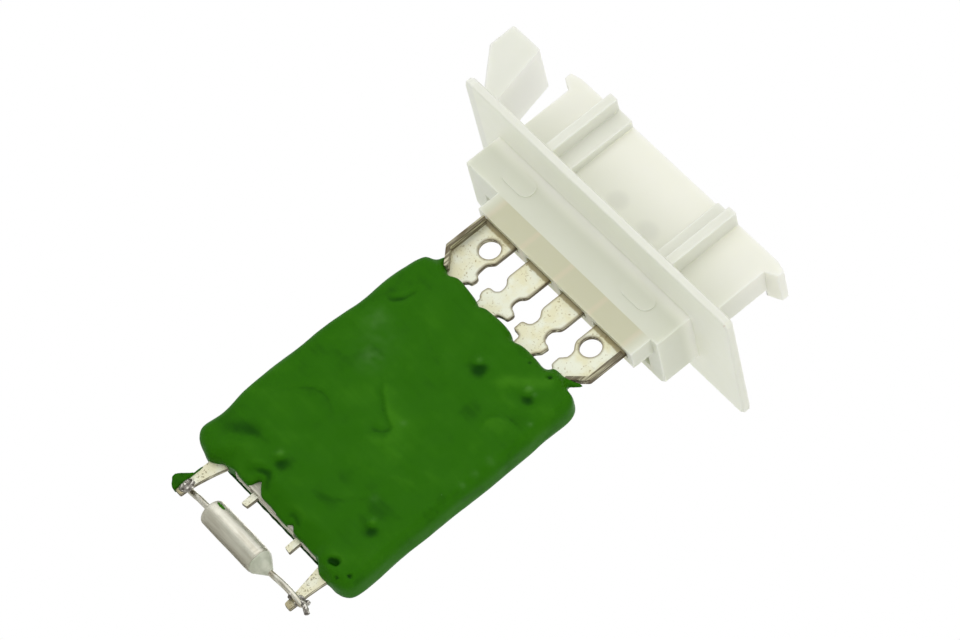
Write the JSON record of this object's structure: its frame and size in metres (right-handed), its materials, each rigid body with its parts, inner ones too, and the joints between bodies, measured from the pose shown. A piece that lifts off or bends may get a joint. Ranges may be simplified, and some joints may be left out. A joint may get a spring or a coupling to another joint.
{
  "type": "blower motor resistor",
  "caption": "Duct-mounted blower resistor: moulded flange with plug socket and grip lever, stamped blade terminals, green coated resistor card and a thermal fuse.",
  "frame": {"origin": "centre of the flange's seating face, on the side that lies against the duct", "axes": "+Z out of the duct towards the plug, +X along the flange away from the grip lever, -Y the face that shows the rivet bumps and the bent terminal edges"},
  "size_m": [0.0601, 0.0236, 0.0785],
  "materials": {
    "mount_polymer": "natural translucent nylon, satin moulded",
    "tinned_strip": "tinned stamped strip, dull with brown flecks",
    "resistance_alloy": "bare rolled resistance strip",
    "insulating_card": "grey mineral-filled insulating plate",
    "green_coating": "thick deep green dip coat, semi-gloss",
    "rivet_metal": "tinned rivet",
    "fuse_case_metal": "bright tinned drawn case",
    "fuse_potting": "pale grey potting",
    "tinned_wire": "tinned round wire"
  },
  "bodies": {
    "root": {"mount_housing": "mount_polymer", "terminal_1": "tinned_strip", "terminal_2": "tinned_strip", "terminal_3": "tinned_strip", "terminal_4": "tinned_strip", "resistor_grid": "resistance_alloy", "insulator_front": "insulating_card", "insulator_back": "insulating_card", "coating": "green_coating", "rivet_1": "rivet_metal", "rivet_2": "rivet_metal", "rivet_3": "rivet_metal", "rivet_4": "rivet_metal", "arm_left": "tinned_strip", "arm_right": "tinned_strip", "fuse_case": "fuse_case_metal", "fuse_seal": "fuse_potting", "fuse_lead_left": "tinned_wire", "fuse_lead_right": "tinned_wire", "coat_drop": "green_coating"}
  },
  "joints": []
}
